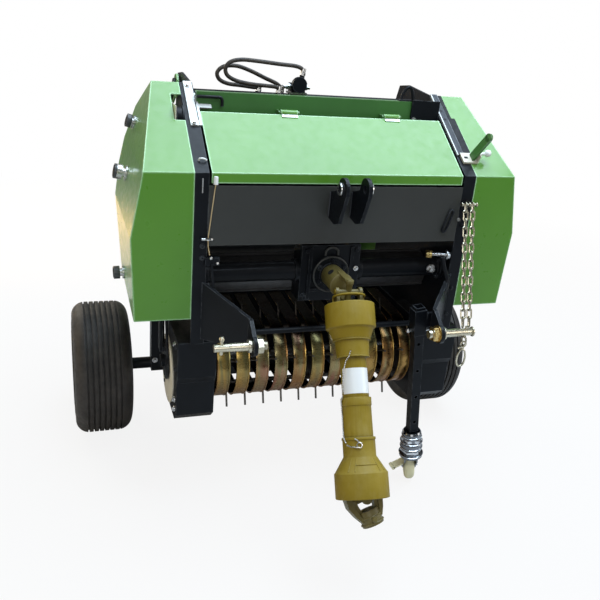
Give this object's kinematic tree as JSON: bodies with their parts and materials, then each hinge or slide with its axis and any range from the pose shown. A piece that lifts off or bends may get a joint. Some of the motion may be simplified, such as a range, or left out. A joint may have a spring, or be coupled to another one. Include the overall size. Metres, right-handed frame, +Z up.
{
  "type": "round hay baler",
  "caption": "Small tractor-mounted round hay baler with tined pickup, roller chamber, rear gate, side covers, drive shaft and parking leg.",
  "frame": {"origin": "on the floor under the middle of the bounding box of the parked machine", "axes": "+X to the right as seen from the front, +Y to the rear, +Z up"},
  "size_m": [1.347, 1.292, 1.2275],
  "materials": {
    "green_paint": "glossy green paint",
    "dark_green_paint": "satin dark green paint",
    "black_paint": "semi-gloss blue-black paint",
    "panel_paint": "satin dark grey paint",
    "roller_steel": "bare worn steel",
    "zinc": "yellow passivated zinc",
    "tine_steel": "dark spring steel",
    "bright_steel": "ground and plated steel",
    "tyre_rubber": "dusty black rubber",
    "castor_plastic": "cream plastic",
    "guard_plastic": "weathered ochre plastic",
    "shaft_steel": "olive oiled steel",
    "hose_rubber": "dull black rubber",
    "cream_paint": "cream paint",
    "knob_plastic": "dark grey plastic",
    "twine_fibre": "tan natural fibre"
  },
  "bodies": {
    "frame": {"side_walls": "black_paint", "cover_left": "green_paint", "cover_right": "green_paint", "front_panel": "panel_paint", "cross_beam": "dark_green_paint", "top_tube": "black_paint", "gearbox": "black_paint", "drive_tubes": "black_paint", "input_yoke": "shaft_steel", "top_link_ears": "black_paint", "hitch_plates": "black_paint", "link_pins": "zinc", "guard_bar": "black_paint", "pickup_bands": "zinc", "pickup_frame": "black_paint", "axle_arms": "black_paint", "leg_sleeve": "black_paint", "valve": "black_paint", "hoses": "hose_rubber", "density_lever": "cream_paint", "cover_knobs": "knob_plastic", "twine_guides": "black_paint", "twine": "twine_fibre"},
    "lid": {"lid": "green_paint"},
    "reel": {"pickup_reel": "tine_steel"},
    "gate": {"gate_plates": "green_paint", "gate_braces": "black_paint"},
    "cylinder_left": {"barrel_left": "black_paint"},
    "rod_left": {"rod_left": "bright_steel"},
    "cylinder_right": {"barrel_right": "black_paint"},
    "rod_right": {"rod_right": "bright_steel"},
    "wheel_left": {"tyre_left": "tyre_rubber", "rim_left": "black_paint"},
    "wheel_right": {"tyre_right": "tyre_rubber", "rim_right": "black_paint"},
    "leg": {"leg": "black_paint"},
    "castor": {"castor_fork": "bright_steel"},
    "castor_wheel": {"castor_wheel": "castor_plastic"},
    "shaft_upper": {"upper_guard": "guard_plastic", "upper_yoke": "shaft_steel"},
    "shaft_lower": {"lower_guard": "guard_plastic", "lower_yoke": "shaft_steel"},
    "chains": {"hitch_chains": "zinc"},
    "front_roller_1": {"front_roller_1": "roller_steel"},
    "gate_roller_1": {"gate_roller_1": "roller_steel"},
    "front_roller_2": {"front_roller_2": "roller_steel"},
    "gate_roller_2": {"gate_roller_2": "roller_steel"},
    "front_roller_3": {"front_roller_3": "roller_steel"},
    "gate_roller_3": {"gate_roller_3": "roller_steel"},
    "front_roller_4": {"front_roller_4": "roller_steel"},
    "gate_roller_4": {"gate_roller_4": "roller_steel"},
    "front_roller_5": {"front_roller_5": "roller_steel"},
    "gate_roller_5": {"gate_roller_5": "roller_steel"}
  },
  "joints": [
    {"name": "gate_hinge", "type": "hinge", "parent": "frame", "child": "gate", "pos_m": [0, 0.25105, 1.13], "axis": [1, 0, 0], "range_deg": [0, 65]},
    {"name": "lid_hinge", "type": "hinge", "parent": "frame", "child": "lid", "pos_m": [0, -0.00596, 1.10256], "axis": [-1, 0, 0], "range_deg": [0, 100]},
    {"name": "wheel_left_spin", "type": "hinge", "parent": "frame", "child": "wheel_left", "pos_m": [-0.586, 0.31605, 0.214], "axis": [1, 0, 0], "continuous": true},
    {"name": "wheel_right_spin", "type": "hinge", "parent": "frame", "child": "wheel_right", "pos_m": [0.586, 0.31605, 0.214], "axis": [1, 0, 0], "continuous": true},
    {"name": "front_roller_1_spin", "type": "hinge", "parent": "frame", "child": "front_roller_1", "pos_m": [0, 0.22499, 0.44287], "axis": [1, 0, 0], "continuous": true},
    {"name": "front_roller_2_spin", "type": "hinge", "parent": "frame", "child": "front_roller_2", "pos_m": [0, 0.22839, 1.02759], "axis": [1, 0, 0], "continuous": true},
    {"name": "front_roller_3_spin", "type": "hinge", "parent": "frame", "child": "front_roller_3", "pos_m": [0, 0.07686, 0.96135], "axis": [1, 0, 0], "continuous": true},
    {"name": "front_roller_4_spin", "type": "hinge", "parent": "frame", "child": "front_roller_4", "pos_m": [0, -0.01521, 0.82398], "axis": [1, 0, 0], "continuous": true},
    {"name": "front_roller_5_spin", "type": "hinge", "parent": "frame", "child": "front_roller_5", "pos_m": [0, -0.0189, 0.65865], "axis": [1, 0, 0], "continuous": true},
    {"name": "gate_roller_1_spin", "type": "hinge", "parent": "gate", "child": "gate_roller_1", "pos_m": [0, 0.38864, 0.46668], "axis": [1, 0, 0], "continuous": true},
    {"name": "gate_roller_2_spin", "type": "hinge", "parent": "gate", "child": "gate_roller_2", "pos_m": [0, 0.51376, 0.57481], "axis": [1, 0, 0], "continuous": true},
    {"name": "gate_roller_3_spin", "type": "hinge", "parent": "gate", "child": "gate_roller_3", "pos_m": [0, 0.56104, 0.73328], "axis": [1, 0, 0], "continuous": true},
    {"name": "gate_roller_4_spin", "type": "hinge", "parent": "gate", "child": "gate_roller_4", "pos_m": [0, 0.51561, 0.89229], "axis": [1, 0, 0], "continuous": true},
    {"name": "gate_roller_5_spin", "type": "hinge", "parent": "gate", "child": "gate_roller_5", "pos_m": [0, 0.39175, 1.00188], "axis": [1, 0, 0], "continuous": true},
    {"name": "reel_spin", "type": "hinge", "parent": "frame", "child": "reel", "pos_m": [0, -0.02896, 0.4], "axis": [-1, 0, 0], "continuous": true},
    {"name": "shaft_lift", "type": "hinge", "parent": "frame", "child": "shaft_upper", "pos_m": [0, -0.29396, 0.7], "axis": [-0.9954, 0.0958, 0], "range_deg": [0, 50]},
    {"name": "shaft_slide", "type": "slide", "parent": "shaft_upper", "child": "shaft_lower", "axis": [0.055, 0.5709, 0.8192], "range_m": [0, 0.085]},
    {"name": "leg_slide", "type": "slide", "parent": "frame", "child": "leg", "axis": [-0.1218, -0.0262, 0.9922], "range_m": [0, 0.19]},
    {"name": "castor_swivel", "type": "hinge", "parent": "leg", "child": "castor", "pos_m": [0.324, -0.21396, 0], "axis": [-0.1218, -0.0262, 0.9922], "continuous": true},
    {"name": "castor_spin", "type": "hinge", "parent": "castor", "child": "castor_wheel", "pos_m": [0.3305, -0.18134, 0.04811], "axis": [0.9338, -0.3419, 0.1056], "continuous": true},
    {"name": "chain_swing", "type": "hinge", "parent": "frame", "child": "chains", "pos_m": [0, -0.20295, 0.906], "axis": [-1, 0, 0], "range_deg": [0, 60]},
    {"name": "cylinder_left_swing", "type": "hinge", "parent": "frame", "child": "cylinder_left", "pos_m": [-0.398, 0.16104, 0.54], "axis": [1, 0, 0], "range_deg": [0, 15]},
    {"name": "rod_left_slide", "type": "slide", "parent": "cylinder_left", "child": "rod_left", "axis": [0, 0.6126, 0.7904], "range_m": [0, 0.3]},
    {"name": "cylinder_right_swing", "type": "hinge", "parent": "frame", "child": "cylinder_right", "pos_m": [0.398, 0.16104, 0.54], "axis": [1, 0, 0], "range_deg": [0, 15]},
    {"name": "rod_right_slide", "type": "slide", "parent": "cylinder_right", "child": "rod_right", "axis": [0, 0.6126, 0.7904], "range_m": [0, 0.3]}
  ],
  "couplings": [
    {"joint": "front_roller_2_spin", "follows": "front_roller_1_spin", "ratio": 1},
    {"joint": "front_roller_3_spin", "follows": "front_roller_1_spin", "ratio": 1},
    {"joint": "front_roller_4_spin", "follows": "front_roller_1_spin", "ratio": 1},
    {"joint": "front_roller_5_spin", "follows": "front_roller_1_spin", "ratio": 1},
    {"joint": "gate_roller_1_spin", "follows": "front_roller_1_spin", "ratio": 1},
    {"joint": "gate_roller_2_spin", "follows": "front_roller_1_spin", "ratio": 1},
    {"joint": "gate_roller_3_spin", "follows": "front_roller_1_spin", "ratio": 1},
    {"joint": "gate_roller_4_spin", "follows": "front_roller_1_spin", "ratio": 1},
    {"joint": "gate_roller_5_spin", "follows": "front_roller_1_spin", "ratio": 1},
    {"joint": "reel_spin", "follows": "front_roller_1_spin", "ratio": 0.6},
    {"joint": "cylinder_left_swing", "follows": "gate_hinge", "ratio": 0.17185},
    {"joint": "rod_left_slide", "follows": "gate_hinge", "m_per_rad": 0.25299},
    {"joint": "cylinder_right_swing", "follows": "gate_hinge", "ratio": 0.17185},
    {"joint": "rod_right_slide", "follows": "gate_hinge", "m_per_rad": 0.25299}
  ]
}
